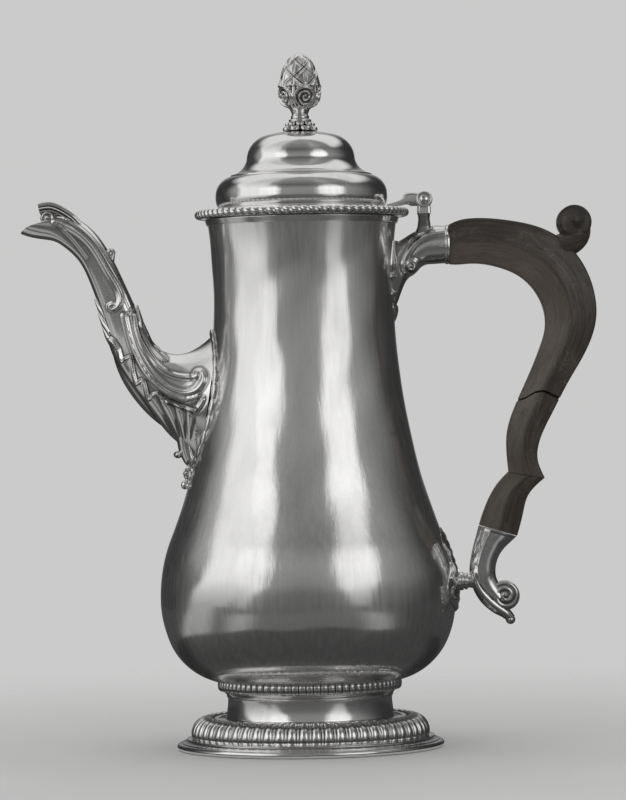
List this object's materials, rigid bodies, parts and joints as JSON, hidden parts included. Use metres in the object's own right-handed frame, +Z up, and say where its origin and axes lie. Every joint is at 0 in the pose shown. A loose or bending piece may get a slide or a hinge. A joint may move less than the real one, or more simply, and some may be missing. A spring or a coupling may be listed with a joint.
{
  "type": "coffee pot",
  "caption": "Pear-shaped silver coffee pot on a gadrooned foot, with a cast swan-neck spout, a hinged domed lid with bud finial and a wooden double-scroll handle.",
  "frame": {"origin": "middle of the flat underside of the foot, on the pot's vertical axis", "axes": "+Z up through the finial, -X towards the spout, +X towards the handle, +Y across the pot"},
  "size_m": [0.2481, 0.1276, 0.3],
  "materials": {
    "raised_silver": "polished, hand-raised sheet with faint wear",
    "cast_silver": "polished casting with dark tarnish left in the hollows",
    "dark_wood": "dark stained hardwood, waxed, semi-gloss"
  },
  "bodies": {
    "pot": {"body_shell": "raised_silver", "neck_band": "raised_silver", "foot_rim": "raised_silver", "foot_shell": "raised_silver", "foot_collar": "raised_silver", "foot_gadroon": "cast_silver", "collar_gadroon": "cast_silver", "spout_near_half": "cast_silver", "spout_far_half": "cast_silver", "spout_drop": "cast_silver", "upper_socket": "cast_silver", "upper_peg": "cast_silver", "upper_drop_plate": "cast_silver", "lower_socket": "cast_silver", "lower_peg": "cast_silver", "lower_plate": "cast_silver", "lower_strut": "cast_silver", "hinge_post": "cast_silver", "hinge_pin": "cast_silver", "handle_upper_wood": "dark_wood", "handle_lower_wood": "dark_wood", "handle_dowel": "dark_wood"},
    "lid": {"lid_dome": "raised_silver", "lid_gadroon": "cast_silver", "lid_bezel": "raised_silver", "lid_hinge_leaf": "cast_silver", "finial_rosette": "cast_silver", "finial_bud": "cast_silver", "finial_stud": "cast_silver", "finial_nut": "cast_silver"}
  },
  "joints": [
    {"name": "lid_hinge", "type": "hinge", "parent": "pot", "child": "lid", "pos_m": [0.05283, 0, 0.23555], "axis": [0, 1, 0], "range_deg": [0, 105]}
  ]
}
